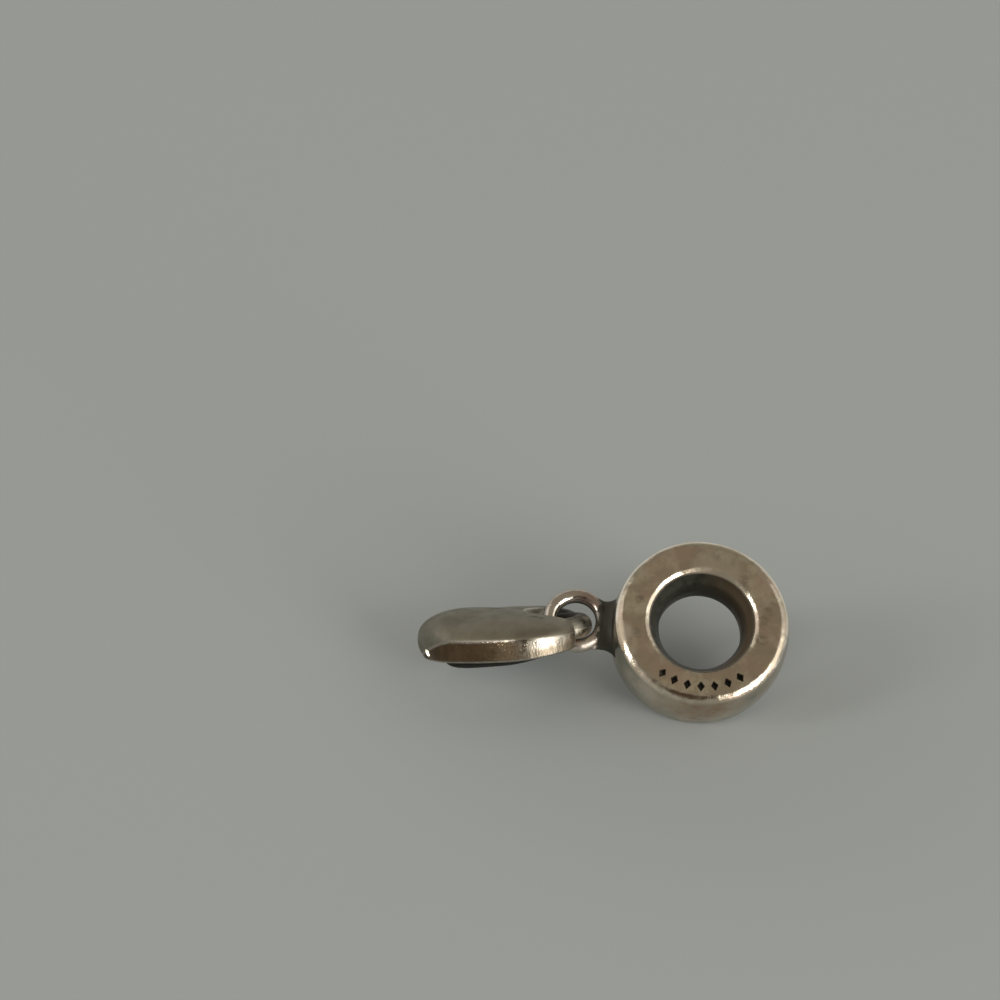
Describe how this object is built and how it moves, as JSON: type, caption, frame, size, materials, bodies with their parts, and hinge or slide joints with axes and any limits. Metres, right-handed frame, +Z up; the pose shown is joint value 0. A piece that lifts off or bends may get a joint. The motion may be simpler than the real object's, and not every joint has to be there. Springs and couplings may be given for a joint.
{
  "type": "heart charm",
  "caption": "Puffed silver heart linked by the eye in its cleft to the loop of a round carrier bead, lying on a table.",
  "frame": {"origin": "middle of the bounding box's bottom, on the table that the charm lies on", "axes": "+Z up from the table, +X from the heart's tip towards the bead, -Y towards the side that the picture shows"},
  "size_m": [0.0184, 0.0086, 0.0071],
  "materials": {
    "bead_silver": "worn polished silver, warm, with dark tarnish in the hollows",
    "heart_silver": "worn polished silver, grey on the dome"
  },
  "bodies": {
    "root": {"carrier_bead": "bead_silver", "heart_pendant": "heart_silver"}
  },
  "joints": []
}
